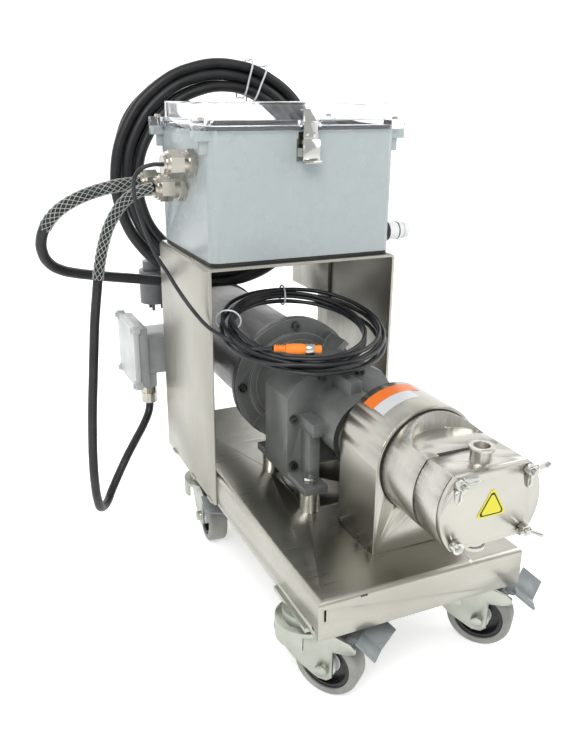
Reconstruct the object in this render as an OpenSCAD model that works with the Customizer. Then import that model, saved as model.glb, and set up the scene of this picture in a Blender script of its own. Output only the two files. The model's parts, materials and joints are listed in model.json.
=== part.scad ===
// Mobile sanitary transfer pump: wheeled stainless cart, gearmotor, rotary lobe pump,
// control enclosure on a portal, three free leads. Millimetres, X right seen from the
// pump end, Y towards the rear, Z up, floor at Z 0.

/* [Cart] */
// Tray width
tray_w = 250; // [220:1:300]
// Tray length
tray_l = 512; // [480:1:560]
// Tray lip depth
tray_h = 45; // [35:1:60]
// Tray sheet thickness
tray_t = 3; // [2:0.5:4]
// Portal plate thickness
portal_t = 4; // [3:0.5:5]
// Portal front edge behind the tray front
portal_y = 298; // [280:1:320]
// Portal top above the floor
portal_top = 416; // [400:1:440]

/* [Casters] */
// Wheel radius
wheel_r = 37.5; // [30:0.5:50]
// Tread width
wheel_w = 26; // [20:1:32]
// Wheel trail behind the swivel axis
trail = 30; // [25:1:40]
// Swivel axes off the centre plane
swivel_x = 100; // [90:1:105]
// Front swivel axes behind the tray front
swivel_yf = 66; // [50:1:80]
// Rear swivel axes behind the tray front
swivel_yr = 412; // [380:1:450]

/* [Enclosure] */
// Enclosure body width
box_w = 246; // [230:1:260]
// Enclosure body depth
box_d = 204; // [180:1:206]
// Enclosure body height
box_h = 151; // [120:1:180]
// Enclosure wall
box_t = 4; // [3:0.5:6]
// Lid top above the body rim
lid_h = 31; // [25:1:40]

/* [Drive] */
// Gear unit axis off the centre plane
gear_x = 3; // [0:1:10]
// Gear unit axis height
gear_z = 246; // [240:1:255]
// Motor radius
motor_r = 68; // [60:1:75]

/* [Pump] */
// Pump axis off the centre plane
pump_x = 28; // [20:1:40]
// Pump axis height
pump_z = 246; // [240:1:255]
// Pump body radius
pump_r = 58; // [50:1:65]
// Port bore radius
port_r = 8; // [6:0.5:11]

/* [Hidden] */
$fn = 48;
eps = 0.01;
// row frame offsets: the object's centre on the floor is the origin
off_x = -4.43;
off_y = -315.5;
tray_z = 100;
tray_top = tray_z + tray_h;
hw = tray_w / 2;
swivel_z = 84;
FL = [-swivel_x - 7, swivel_yf - 2, 37];
FR = [swivel_x - 8, swivel_yf - 2, 41];
RL = [-swivel_x, swivel_yr, -6];
RR = [swivel_x, swivel_yr, 24];
portal_hw = hw + portal_t;
portal_d = tray_l - portal_y;
gasket_h = 5;
box_z = portal_top + gasket_h;
box_y = portal_y + 4;
rim_z = box_z + box_h;
box_cy = box_y + box_d / 2;
lid_cy = portal_y + 107;
hinge_y = 517;
hinge_z = 571;
gear_face = 205;
gear_back = 271;
foot_z = 171;
foot_t = 9;
foot_dx = 55;
foot_ys = [171, 284];
disc_y = 335;
motor_y0 = 350;
motor_y1 = 640;
lay_z = gear_z - 30;
guard_r = 62.5;
guard_y0 = 53;
guard_y1 = 132;
shaft_dx = 25;
tbox_gx = -140;
tbox_gy = 575;
drive_x = pump_x - shaft_dx;
idle_x = pump_x + shaft_dx;

// leads: cable routes as points along each centreline, from the gland outwards
coil_x = -13;
coil_y = 572;
coil_z = 494;
coil_r = 144;
plug_x = -112;
plug_y = 618;
mains_route = [[-163, 475, 500], [-179, 476, 499], [-200, 479, 496], [-225, 484, 489],
  [-248, 491, 479], [-268, 500, 465], [-282, 510, 447], [-289, 520, 427], [-288, 531, 407],
  [-279, 542, 389], [-262, 552, 376], [-240, 560, 368], [-215, 566, 363], [-190, 570, 360],
  [-165, 572, 357], [-140, 573, 354], [-116, 573, 352], [-98, 572, 352]];
mains_tail = [[-164, 588, 482], [-162, 594, 458], [-156, 600, 436], [-146, 606, 416],
  [-132, 611, 399], [-120, 615, 385], [-112, 618, 366]];
motor_route = [[-163, 402, 501], [-178, 404, 498], [-193, 409, 490], [-206, 415, 475],
  [-218, 421, 453], [-226, 426, 428], [-233, 427, 398], [-238, 428, 366], [-243, 429, 330],
  [-247, 430, 290], [-251, 430, 250], [-255, 430, 210], [-258, 430, 170], [-260, 430, 132],
  [-260, 432, 98], [-257, 440, 66], [-250, 456, 42], [-238, 475, 38], [-226, 492, 48],
  [-210, 508, 66], [-194, 522, 84], [-174, 541, 102], [-155, 558, 120], [-143, 571, 136],
  [-140, 575, 150]];
sensor_route = [[-163, 358, 533], [-174, 359, 533], [-186, 361, 529], [-194, 364, 520],
  [-196, 367, 506], [-194, 368, 488], [-189, 366, 468], [-183, 362, 447], [-175, 356, 425],
  [-165, 349, 406], [-155, 341, 386], [-146, 330, 369], [-138.5, 315, 356], [-135, 300, 350],
  [-130, 284, 345], [-121, 268, 340], [-106, 252, 335]];
sensor_ring = [-10, 275, 337];
sensor_tilt = 13;

module at_row() {
  translate([off_x, off_y, 0]) children();
}

// box from its low corner and size
module bx(x, y, z, sx, sy, sz) {
  translate([x, y, z]) cube([sx, sy, sz]);
}

// cylinder along Y from y0 to y1
module cyy(x, z, r, y0, y1) {
  translate([x, y1, z]) rotate([90, 0, 0]) cylinder(r = r, h = y1 - y0);
}

// cylinder along X from x0 to x1
module cyx(y, z, r, x0, x1) {
  translate([x0, y, z]) rotate([0, 90, 0]) cylinder(r = r, h = x1 - x0);
}

// cylinder along Z from z0 to z1
module cyz(x, y, r, z0, z1) {
  translate([x, y, z0]) cylinder(r = r, h = z1 - z0);
}

// rectangle w by h with its two upper corners rounded
module round_top(w, h, r) {
  square([w, h - r]);
  translate([r, 0]) square([w - 2 * r, h]);
  translate([r, h - r]) circle(r = r);
  translate([w - r, h - r]) circle(r = r);
}

// rectangle with four rounded corners, centred
module round_rect(w, h, r) {
  square([w - 2 * r, h], center = true);
  square([w, h - 2 * r], center = true);
  for (sx = [-1, 1]) {
    for (sy = [-1, 1]) {
      translate([sx * (w / 2 - r), sy * (h / 2 - r)]) circle(r = r);
    }
  }
}

// upright plate with rounded corners in plan
module slab(cx, cy, z0, w, d, h, r) {
  translate([cx, cy, z0]) linear_extrude(h) round_rect(w, d, r);
}

// ---------------------------------------------------------------- cart
module tray_block(inset, top) {
  w = tray_w - 2 * inset;
  l = tray_l - 2 * inset;
  r = 6 - inset;
  intersection() {
    translate([-w / 2, tray_l - inset, tray_z]) rotate([90, 0, 0])
      linear_extrude(l) round_top(w, top, r);
    translate([w / 2, inset, tray_z]) rotate([90, 0, -90]) mirror([1, 0, 0])
      linear_extrude(w) round_top(l, top, r);
  }
}

module caster_pads() {
  for (c = [FL, FR, RL, RR]) {
    x0 = c[0] < 0 ? -hw + 1 : c[0] - 21;
    x1 = c[0] < 0 ? c[0] + 21 : hw - 1;
    bx(x0, c[1] - 42, tray_z, x1 - x0, 84, 4);
  }
}

module tray() {
  color([0.68, 0.68, 0.65]) at_row() difference() {
    union() {
      difference() {
        tray_block(0, tray_h);
        translate([0, 0, -1]) tray_block(tray_t, tray_h - tray_t + 1);
      }
      caster_pads();
    }
    for (c = [FL, FR, RL, RR]) {
      for (sx = [-9, 9]) {
        for (sy = [-31, 31]) {
          cyz(c[0] + sx, c[1] + sy, 3.2, 90, 110);
        }
      }
    }
    // drain slots near the front left corner
    bx(-hw + 6, -1, 122, 2.5, 6, 14);
    bx(-78, -1, 139.5, 8, 6, 2);
    cyx(12, 108, 2.5, -hw - 1, -hw + 6);
    // gear foot bolts
    for (x = [gear_x - foot_dx, gear_x + foot_dx]) {
      for (y = foot_ys) {
        cyz(x, y, 4.2, tray_top - 10, tray_top + 5);
      }
    }
  }
}

// cable hook plate welded behind the right-hand side
module rear_wing() {
  bx(hw - portal_t, 470, 317, portal_t, 80, portal_top - portal_t - 317);
  bx(hw - portal_t, 540, 317, portal_t, 60, 66);
}

module portal() {
  h = portal_top - tray_z;
  w = 2 * portal_hw;
  color([0.7, 0.7, 0.67]) at_row() {
    difference() {
      translate([-portal_hw, tray_l, tray_z]) rotate([90, 0, 0])
        linear_extrude(portal_d) difference() {
          round_top(w, h, 6);
          translate([portal_t, -1]) round_top(w - 2 * portal_t, h - portal_t + 1, 2);
        }
      // cable slot in the top plate
      slab(-60, 470, portal_top - 10, 60, 30, 20, 8);
    }
    rear_wing();
  }
}

module pillars() {
  color([0.75, 0.75, 0.72]) at_row() {
    for (x = [gear_x - foot_dx, gear_x + foot_dx]) {
      for (y = foot_ys) {
        translate([x, y, tray_top]) difference() {
          cylinder(r = 12.5, h = foot_z - tray_top);
          translate([0, 0, -1]) cylinder(r = 4.2, h = 40);
        }
      }
    }
  }
}

// hex head bolt pointing down from a seat at z, with a washer
module hex_bolt(x, y, z, r, len, af, head) {
  translate([x, y, z]) {
    cylinder(r = r * 2.1, h = 1.6);
    translate([0, 0, 1.6 - eps]) cylinder(r = af / 1.732, h = head, $fn = 6);
    translate([0, 0, -len]) cylinder(r = r, h = len + 1);
  }
}

module hex_bolts() {
  color([0.7, 0.7, 0.68]) at_row() {
    for (x = [gear_x - foot_dx, gear_x + foot_dx]) {
      for (y = foot_ys) {
        hex_bolt(x, y, foot_z + foot_t, 4, 50, 13, 5.5);
        translate([x, y, tray_top - 9]) cylinder(r = 7.5, h = 5.95, $fn = 6);
      }
    }
    for (c = [FL, FR, RL, RR]) {
      for (sx = [-9, 9]) {
        for (sy = [-31, 31]) {
          translate([c[0] + sx, c[1] + sy, 0]) {
            cyz(0, 0, 3, 93, 108);
            translate([0, 0, 91]) cylinder(r = 5.8, h = 3.99, $fn = 6);
            translate([0, 0, 104.01]) cylinder(r = 5.8, h = 5, $fn = 6);
          }
        }
      }
    }
  }
}

// ---------------------------------------------------------------- casters
// place a caster's parts at its swivel axis; the wheel trails towards -Y
module at_caster(c) {
  at_row() translate([c[0], c[1], 0]) rotate([0, 0, c[2]]) children();
}

module caster_plates() {
  color([0.72, 0.75, 0.7]) at_row() {
    for (c = [FL, FR, RL, RR]) {
      translate([c[0], c[1], 0]) difference() {
        union() {
          bx(-21, -40, 95, 42, 80, 4.99);
          cyz(0, 0, 26, swivel_z + 0.3, 95.5);
          cyz(0, 0, 5, 76, 90);
          cyz(0, 0, 8, 74.5, 77.7);
        }
        for (sx = [-9, 9]) {
          for (sy = [-31, 31]) {
            cyz(sx, sy, 3.2, 90, 110);
          }
        }
      }
    }
  }
}

// side view of one fork leg: Y forward of the swivel axis is negative
module leg_profile() {
  polygon([[27, 84], [30, 72], [27, 60], [4, 38], [-19, 26.5], [-25, 24], [-35, 24.5],
    [-41, 30], [-41, 63], [-58, 66], [-66, 70], [-66, 76], [-60, 80], [-40, 84]]);
}

module fork(c) {
  color([0.74, 0.77, 0.72]) at_caster(c) difference() {
    union() {
      for (sx = [-18.7, 15.5]) {
        translate([sx, 0, 0]) rotate([90, 0, 90]) linear_extrude(3.2) leg_profile();
      }
      cyz(0, 0, 34, swivel_z - 5, swivel_z);
      // rear half of the swivel cup
      difference() {
        cyz(0, 0, 34, 62, swivel_z - 4);
        cyz(0, 0, 31, 61, swivel_z - 3);
        bx(-40, -40, 60, 80, 28, 30);
      }
      bx(-18, -40, swivel_z - 5, 36, 20, 5);
      cyx(-trail, wheel_r, 4, -22, 22);
      translate([-24, -trail, wheel_r]) rotate([0, 90, 0]) cylinder(r = 7.5, h = 5.4, $fn = 6);
      translate([18.6, -trail, wheel_r]) rotate([0, 90, 0]) cylinder(r = 7.5, h = 5.4, $fn = 6);
      cyx(-56, 77, 2.5, -18.6, 18.6);
    }
    cyz(0, 0, 5.06, 60, 100);
    cyz(0, 0, 8.5, 60, 78);
  }
}

module tyre(c) {
  color([0.45, 0.45, 0.42]) at_caster(c) translate([0, -trail, wheel_r]) rotate([0, 90, 0])
    rotate_extrude($fn = 64) {
      translate([28.5, -wheel_w / 2]) square([wheel_r - 33, wheel_w]);
      translate([32, -wheel_w / 2 + 4.5]) square([wheel_r - 32, wheel_w - 9]);
      translate([wheel_r - 4.5, -wheel_w / 2 + 4.5]) circle(r = 4.49);
      translate([wheel_r - 4.5, wheel_w / 2 - 4.5]) circle(r = 4.49);
    }
}

module core(c) {
  color([0.08, 0.08, 0.09]) at_caster(c) translate([0, -trail, wheel_r]) rotate([0, 90, 0])
    rotate_extrude($fn = 64) {
      translate([24, -11]) square([4.5, 22]);
      translate([10, -3]) square([15, 6]);
      translate([4.05, -15]) square([8, 30]);
    }
}

// brake pedal on its cross pin
module pedal(c) {
  color([0.5, 0.54, 0.56]) at_caster(c) difference() {
    union() {
      cyx(-56, 77, 4.5, -15, 15);
      bx(-10, -67, 77, 20, 11, 5);
      translate([4, -63, 80]) rotate([32, 0, 0]) rotate([90, 0, 0]) linear_extrude(26)
        polygon([[-29, 10], [-2, 0], [2, 0], [29, 9], [29, 12], [0, 3], [-29, 13]]);
    }
    cyx(-56, 77, 2.56, -20, 20);
  }
}

// ---------------------------------------------------------------- enclosure
// foam pad under the enclosure and seal ring under the lid
module seals() {
  color([0.06, 0.06, 0.06]) at_row() {
    difference() {
      slab(0, box_cy, portal_top, box_w - 2, box_d - 2, gasket_h, 10);
      slab(0, box_cy, portal_top - 1, box_w - 26, box_d - 26, gasket_h + 2, 4);
    }
    difference() {
      slab(0, box_cy, rim_z, box_w - 1, box_d - 1, 4.8, 12);
      slab(0, box_cy, rim_z - 1, box_w - 12, box_d - 12, 8, 7);
    }
  }
}

module enclosure() {
  color([0.71, 0.76, 0.76]) at_row() difference() {
    union() {
      slab(0, box_cy, box_z, box_w, box_d, box_h, 12);
      for (sx = [-1, 1]) {
        for (y = [box_y + 12, box_y + box_d - 12]) {
          translate([sx * (box_w / 2 + 5), y, rim_z - 11]) slab(0, 0, 0, 22, 16, 11, 3);
          translate([sx * (box_w / 2 + 2), y, rim_z - 26]) slab(0, 0, 0, 12, 7, 16, 2);
        }
      }
    }
    slab(0, box_cy, box_z + box_t, box_w - 2 * box_t, box_d - 2 * box_t, box_h, 8);
    // gland holes in the left wall, operator hole in the right wall
    cyx(358, 533, 12.5, -box_w / 2 - 5, -box_w / 2 + 10);
    cyx(402, 501, 12.5, -box_w / 2 - 5, -box_w / 2 + 10);
    cyx(475, 500, 12.5, -box_w / 2 - 5, -box_w / 2 + 10);
    cyx(324, 442, 8.1, box_w / 2 - 10, box_w / 2 + 5);
    // mounting holes in the floor
    for (sx = [-90, 90]) {
      for (sy = [-72, 72]) {
        cyz(sx, box_cy + sy, 3.3, box_z - 2, box_z + 10);
      }
    }
  }
}

module lid() {
  color([0.85, 0.88, 0.9, 0.35]) at_row() difference() {
    union() {
      slab(0, lid_cy, rim_z + 0.3, 254, 213, 11, 10);
      slab(0, lid_cy + 3, rim_z + 5, 234, 192, lid_h - 5, 8);
      for (sx = [-1, 1]) {
        for (y = [box_y + 12, box_y + box_d - 12]) {
          slab(sx * (box_w / 2 + 5), y, rim_z + 0.3, 22, 16, 11, 3);
        }
      }
      // hinge knuckles
      for (sx = [-70, 50]) {
        bx(sx, 500, rim_z + 4, 20, 17, 5);
        cyx(hinge_y, hinge_z, 4, sx, sx + 20);
        bx(sx, hinge_y - 4, hinge_z, 20, 8, 10);
      }
      // strap pivot ears on the front
      bx(-14, portal_y - 6, rim_z + 4, 3, 8, 8);
      bx(11, portal_y - 6, rim_z + 4, 3, 8, 8);
      cyx(portal_y - 3.5, rim_z + 8, 1.5, -14, 14);
    }
    slab(0, box_cy, rim_z - 1, box_w + 1, box_d + 1, 6.1, 12);
    slab(0, lid_cy + 3, rim_z - 1, 227, 185, lid_h - 2, 6);
    cyx(hinge_y, hinge_z, 2.06, -80, 80);
  }
}

module hinge_leaf() {
  for (sx = [-60, 60]) {
    bx(sx - 24, box_y + box_d, rim_z - 26, 48, 2, 22);
    for (dx = [-18.15, 10.3]) {
      bx(sx + dx, box_y + box_d, hinge_z - 8, 7.85, hinge_y - box_y - box_d, 8);
      cyx(hinge_y, hinge_z, 4, sx + dx, sx + dx + 7.85);
    }
    cyx(hinge_y, hinge_z, 2, sx - 18, sx + 18);
  }
}

module latch_base() {
  bx(-14, box_y - 2, 537, 28, 2, 33);
  bx(-10, box_y - 9, 542, 3, 8, 10);
  bx(7, box_y - 9, 542, 3, 8, 10);
  cyx(box_y - 6, 547, 1.5, -10, 10);
}

module enclosure_hardware() {
  color([0.74, 0.74, 0.72]) at_row() {
    hinge_leaf();
    latch_base();
  }
}

// strap hinged on the lid's front edge, hanging in front of the body
module latch_strap() {
  color([0.8, 0.8, 0.78]) at_row() difference() {
    union() {
      cyx(portal_y - 3.5, rim_z + 8, 3, -10.6, 10.6);
      bx(-9, portal_y - 5.5, rim_z + 8, 18, 2, 16);
      bx(-9, portal_y - 5.5, rim_z + 22, 18, 12, 1.6);
      bx(-9, portal_y - 6.5, 556, 18, 2, 26);
      bx(-11, portal_y - 10, 537, 22, 2, 25);
      bx(-11, portal_y - 10, 557, 22, 5, 4);
      bx(-11, portal_y - 15, 535, 22, 7, 3);
    }
    cyx(portal_y - 3.5, rim_z + 8, 1.56, -16, 16);
  }
}

module backplate() {
  color([0.8, 0.8, 0.78]) at_row() {
    slab(0, box_cy, box_z + 16, 220, 178, 2, 3);
    for (sx = [-90, 90]) {
      for (sy = [-72, 72]) {
        cyz(sx, box_cy + sy, 5, box_z + box_t, box_z + 16.5);
        cyz(sx, box_cy + sy, 4.5, box_z + 17, box_z + 20.5);
      }
    }
  }
}

module drive_unit() {
  color([0.16, 0.17, 0.18]) at_row() {
    slab(-28, box_cy, box_z + 18, 110, 150, 96, 4);
    for (i = [0:8]) {
      bx(26, 338 + i * 16, box_z + 20, 14, 5, 70);
    }
    slab(-28, box_cy - 30, box_z + 113.9, 70, 60, 3, 3);
  }
}

module terminals() {
  color([0.55, 0.6, 0.6]) at_row() {
    bx(62, 342, box_z + 18, 35, 124, 7.5);
    for (i = [0:8]) {
      bx(56, 345 + i * 13, box_z + 25.4, 46, 12, 34);
    }
  }
}

module operator() {
  color([0.1, 0.1, 0.1]) at_row() {
    cyx(324, 442, 13, box_w / 2, box_w / 2 + 6);
    cyx(324, 442, 7.9, box_w / 2 - 12, box_w / 2 + 1);
    cyx(324, 442, 11, box_w / 2 - box_t - 4, box_w / 2 - box_t);
    cyx(324, 442, 4, box_w / 2 + 1, box_w / 2 + 30);
  }
}

module knob() {
  color([0.3, 0.31, 0.32]) at_row() difference() {
    union() {
      cyx(324, 442, 11.5, box_w / 2 + 6.4, box_w / 2 + 20);
      cyx(324, 442, 10.5, box_w / 2 + 19.9, box_w / 2 + 36);
      bx(box_w / 2 + 35, 322, 433, 5, 4, 18);
    }
    cyx(324, 442, 4.06, box_w / 2, box_w / 2 + 31);
  }
}

// cable gland with its hexagon, wall thread and lock nut, along X
module gland(y, z, r, hex, x0) {
  difference() {
    union() {
      translate([x0, y, z]) rotate([0, -90, 0]) cylinder(r = hex, h = 9, $fn = 6);
      cyx(y, z, hex * 0.92, x0 - 2, x0);
      cyx(y, z, r - 0.02, x0 - 1, x0 + 15);
      cyx(y, z, hex * 0.8, x0 - 24, x0 - 8);
      translate([x0 + box_t, y, z]) rotate([0, 90, 0]) cylinder(r = hex, h = 5, $fn = 6);
    }
    cyx(y, z, r * 0.72, x0 - 40, x0 + 30);
  }
}

// domed nut that squeezes the seal around the cable
module dome_nut(y, z, hex, bore, x0) {
  difference() {
    union() {
      translate([x0 - 16, y, z]) rotate([0, -90, 0]) cylinder(r = hex, h = 16, $fn = 6);
      cyx(y, z, hex * 0.86, x0 - 36, x0 - 31);
      cyx(y, z, hex * 0.7, x0 - 40, x0 - 35);
    }
    cyx(y, z, hex * 0.8 + 0.02, x0 - 24.1, x0);
    cyx(y, z, bore, x0 - 50, x0);
  }
}

module glands() {
  color([0.78, 0.77, 0.72]) at_row() {
    gland(358, 533, 12.5, 17, -box_w / 2);
    gland(402, 501, 12.5, 17, -box_w / 2);
    gland(475, 500, 12.5, 17, -box_w / 2);
    // terminal box gland, pointing down
    difference() {
      union() {
        translate([tbox_gx, tbox_gy, 166]) cylinder(r = 14, h = 10, $fn = 6);
        cyz(tbox_gx, tbox_gy, 8, 175, 206);
        cyz(tbox_gx, tbox_gy, 9, 158, 167);
      }
      cyz(tbox_gx, tbox_gy, 6.6, 140, 210);
    }
  }
}

module gland_nuts() {
  color([0.82, 0.81, 0.77]) at_row() {
    dome_nut(358, 533, 17, 2.6, -box_w / 2);
    dome_nut(402, 501, 17, 6.6, -box_w / 2);
    dome_nut(475, 500, 17, 8.1, -box_w / 2);
    difference() {
      cyz(tbox_gx, tbox_gy, 12.5, 150, 165.5);
      cyz(tbox_gx, tbox_gy, 9.02, 156, 170);
      cyz(tbox_gx, tbox_gy, 6.6, 140, 170);
    }
  }
}

// ---------------------------------------------------------------- motor
module motor() {
  color([0.36, 0.37, 0.36]) at_row() {
    difference() {
      cyy(gear_x, gear_z, 80, motor_y0, motor_y0 + 8);
      cyy(gear_x, gear_z, 12.06, motor_y0 - 1, motor_y0 + 9);
    }
    difference() {
      cyy(gear_x, gear_z, motor_r, motor_y0 + 7.9, motor_y1);
      cyy(gear_x, gear_z, motor_r - 8, motor_y0 + 10, motor_y1 - 10);
      cyy(gear_x, gear_z, 12.06, motor_y0, motor_y1 + 1);
    }
    // stator ring
    difference() {
      cyy(gear_x, gear_z, motor_r - 7.9, 400, 590);
      cyy(gear_x, gear_z, 34, 399, 591);
    }
  }
}

module motor_rotor() {
  color([0.6, 0.6, 0.6]) at_row() {
    cyy(gear_x, gear_z, 33, 405, 585);
    cyy(gear_x, gear_z, 12, 257, 690);
    cyy(gear_x, gear_z, 8, 236, 257.1);
    cyy(gear_x, gear_z, 18, 656, 676);
    for (a = [0:45:315]) {
      translate([gear_x, 0, gear_z]) rotate([0, a, 0]) bx(-1.5, 656, 16, 3, 18, 38);
    }
  }
}

module fan_cowl() {
  color([0.3, 0.31, 0.31]) at_row() difference() {
    cyy(gear_x, gear_z, motor_r + 3, 632, 700);
    cyy(gear_x, gear_z, motor_r, 631, 696);
    // ring slots of the air inlet, with four spokes left
    for (r = [16:14:44]) {
      difference() {
        cyy(gear_x, gear_z, r + 8, 690, 705);
        cyy(gear_x, gear_z, r, 689, 706);
        bx(gear_x - 2, 688, gear_z - 80, 4, 20, 160);
        bx(gear_x - 80, 688, gear_z - 2, 160, 20, 4);
      }
    }
  }
}

module tbox() {
  color([0.52, 0.54, 0.54]) at_row() difference() {
    union() {
      bx(-158, 552, 184, 14, 102, 92);
      bx(-144.1, 560, 200, 92, 70, 58);
      cyz(tbox_gx, tbox_gy, 13, 176, 202);
    }
    bx(-159, 558, 190, 10, 90, 80);
    bx(-150, 566, 206, 84, 58, 46);
    cyz(tbox_gx, tbox_gy, 8.02, 175, 210);
    cyy(gear_x, gear_z, motor_r, 540, 650);
  }
}

module tbox_lid() {
  color([0.6, 0.62, 0.62]) at_row() {
    bx(-166, 549, 181, 8, 108, 98);
    for (y = [556, 650]) {
      for (z = [188, 272]) {
        cyx(y, z, 4.5, -168, -165.9);
      }
    }
  }
}

module adapter() {
  color([0.4, 0.41, 0.41]) at_row() difference() {
    union() {
      cyy(gear_x, gear_z, 86, disc_y, motor_y0);
      cyy(gear_x, gear_z, 67, disc_y - 5, disc_y + 1);
      cyy(gear_x, gear_z, 58, gear_back, disc_y + 1);
      for (a = [45:90:315]) {
        translate([gear_x, 0, gear_z]) rotate([0, a, 0]) bx(-4, 295, 50, 8, 42, 32);
      }
    }
    cyy(gear_x, gear_z, 40, 283, motor_y0 + 1);
    cyy(gear_x, gear_z, 12.06, gear_back - 1, 284);
    cyy(gear_x, lay_z, 6.06, gear_back - 1, 279);
  }
}

// ---------------------------------------------------------------- gear unit
module gear_face_2d() {
  polygon([[-70, -75], [70, -75], [70, 29], [57, 47], [33, 59], [10, 62], [-10, 62],
    [-33, 59], [-57, 47], [-70, 29]]);
}

module gear_case() {
  color([0.38, 0.39, 0.39]) at_row() difference() {
    union() {
      translate([gear_x, gear_back, gear_z]) rotate([90, 0, 0])
        linear_extrude(gear_back - gear_face) gear_face_2d();
      cyy(gear_x, gear_z, 39, guard_y1 + 3, gear_face + 1);
      for (a = [0:90:270]) {
        translate([gear_x, 0, gear_z]) rotate([0, a, 0]) bx(-7.5, 167, 37, 15, 39, 17);
      }
      for (sx = [-69, 39]) {
        bx(gear_x + sx, 156, foot_z, 30, 144, foot_t);
      }
      // posts between the side lugs and the feet
      for (sx = [-52, 38]) {
        bx(gear_x + sx, 181, foot_z + foot_t - 1, 14, 26, 62);
      }
    }
    // arch between the feet
    bx(gear_x - 34, 200, foot_z - 5, 68, 80, 18);
    // gear chamber
    cyy(gear_x, gear_z, 24, 214, gear_back + 1);
    cyy(gear_x, lay_z, 25, 214, gear_back + 1);
    cyy(gear_x, gear_z, 17.56, guard_y1, 215);
    cyy(gear_x, lay_z, 6.06, 207, 215);
    for (x = [gear_x - foot_dx, gear_x + foot_dx]) {
      for (y = foot_ys) {
        cyz(x, y, 4.2, foot_z - 5, foot_z + foot_t + 1);
      }
    }
  }
}

// socket cap screw with its head on the low-Y side of a face at y
module cap_screw(x, z, y, r) {
  difference() {
    cyy(x, z, r, y - r, y);
    translate([x, y - r + 2, z]) rotate([90, 0, 0]) cylinder(r = r / 2, h = 5, $fn = 6);
  }
}

module cap_screws() {
  color([0.2, 0.21, 0.21]) at_row() {
    for (p = [[26, 51], [62, 3], [62, -57]]) {
      for (sx = [-1, 1]) {
        cap_screw(gear_x + sx * p[0], gear_z + p[1], gear_face, 5);
      }
    }
    // flange screws between the ribs
    for (a = [0:90:270]) {
      translate([gear_x, 0, gear_z]) rotate([0, a, 0]) cap_screw(0, 77, disc_y, 5.5);
    }
    // guard side screws
    for (sx = [-1, 1]) {
      for (y = [63, 86, 126]) {
        translate([pump_x + sx * guard_r, y, 151]) rotate([0, sx * 90, 0])
          cylinder(r = 3.6, h = 2.2);
      }
    }
  }
}

// geared shafts: plain pitch cylinders stand for the toothed gears
module lay_shaft() {
  color([0.5, 0.5, 0.48]) at_row() {
    cyy(gear_x, lay_z, 6, 208, 278);
    cyy(gear_x, lay_z, 9, 216, 233);
    cyy(gear_x, lay_z, 21.7, 238, 252);
  }
}

module output_shaft() {
  color([0.58, 0.58, 0.56]) at_row() {
    cyy(gear_x, gear_z, 20.7, 216, 233);
    cyy(gear_x, gear_z, 17.5, 120.9, 217);
    // coupling sleeve pressed on the pump shaft
    difference() {
      cyy(drive_x, pump_z, 20, 92, 121);
      cyy(drive_x, pump_z, 9, 91, 112);
    }
  }
}

// ---------------------------------------------------------------- pump
module guard_2d(r) {
  translate([0, pump_z]) circle(r = r, $fn = 96);
  translate([-r, tray_top]) square([2 * r, pump_z - tray_top]);
}

// domed cover over the coupling; its front panel carries the pump
module guard() {
  color([0.8, 0.8, 0.77]) at_row() difference() {
    translate([pump_x, guard_y1, 0]) rotate([90, 0, 0])
      linear_extrude(guard_y1 - guard_y0) guard_2d(guard_r);
    difference() {
      translate([pump_x, guard_y1 + 1, 0]) rotate([90, 0, 0])
        linear_extrude(guard_y1 - guard_y0 - 2) guard_2d(guard_r - 2.5);
      bx(pump_x - 70, guard_y0, tray_top - 1, 140, 100, 13);
    }
    cyy(pump_x, pump_z, 46.2, guard_y0 - 1, guard_y0 + 5);
  }
}

// pump body cross-section: a round with flats above and below
module pump_2d() {
  intersection() {
    circle(r = pump_r, $fn = 96);
    square([2 * pump_r + 2, 78], center = true);
  }
}

module pump_block(y0, y1) {
  translate([pump_x, y1, pump_z]) rotate([90, 0, 0]) linear_extrude(y1 - y0) pump_2d();
}

module pump_gearcase() {
  color([0.82, 0.82, 0.78]) at_row() difference() {
    union() {
      cyy(pump_x, pump_z, pump_r, -8, guard_y0);
      cyy(pump_x, pump_z, 46, guard_y0 - 1, 84);
    }
    // flats above and below with scalloped ends
    for (sz = [-1, 1]) {
      translate([0, 0, sz * 54]) bx(pump_x - 70, -9, pump_z - 15, 140, 12, 30);
      cyz(pump_x, 3, 46, pump_z + sz * 54 - 15, pump_z + sz * 54 + 15);
    }
    // vent slots behind the rotor housing
    bx(pump_x - 30, -8.01, pump_z + 35, 60, 3.2, 10);
    bx(pump_x - 30, -8.01, pump_z - 45, 60, 3.2, 10);
    for (x = [drive_x, idle_x]) {
      cyy(x, pump_z, 26.5, 5, 45);
      cyy(x, pump_z, 9.06, -9, 6);
    }
    cyy(drive_x, pump_z, 9.06, 44, 85);
    cyy(idle_x, pump_z, 9.06, 44, 60);
  }
}

module rotor_housing() {
  color([0.84, 0.84, 0.8]) at_row() {
    difference() {
      union() {
        pump_block(-47, -8);
        cyz(pump_x, -31, 10.5, pump_z - 53, pump_z + 53);
        cyz(pump_x, -31, 12.6, pump_z + 51, pump_z + 54.5);
        cyz(pump_x, -31, 12.6, pump_z - 54.5, pump_z - 51);
      }
      for (x = [drive_x, idle_x]) {
        cyy(x, pump_z, 30.2, -48, -14);
        cyy(x, pump_z, 9.06, -15, -7);
      }
      // port bores, narrower where they open into the rotor chamber
      cyz(pump_x, -31, port_r, pump_z + 31, pump_z + 70);
      cyz(pump_x, -31, port_r, pump_z - 70, pump_z - 31);
      cyz(pump_x, -31, port_r - 1, pump_z - 32, pump_z + 32);
    }
    for (sx = [-40, 40]) {
      for (sz = [-32, 32]) {
        cyy(pump_x + sx, pump_z + sz, 3, -64, -46.9);
      }
    }
  }
}

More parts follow.
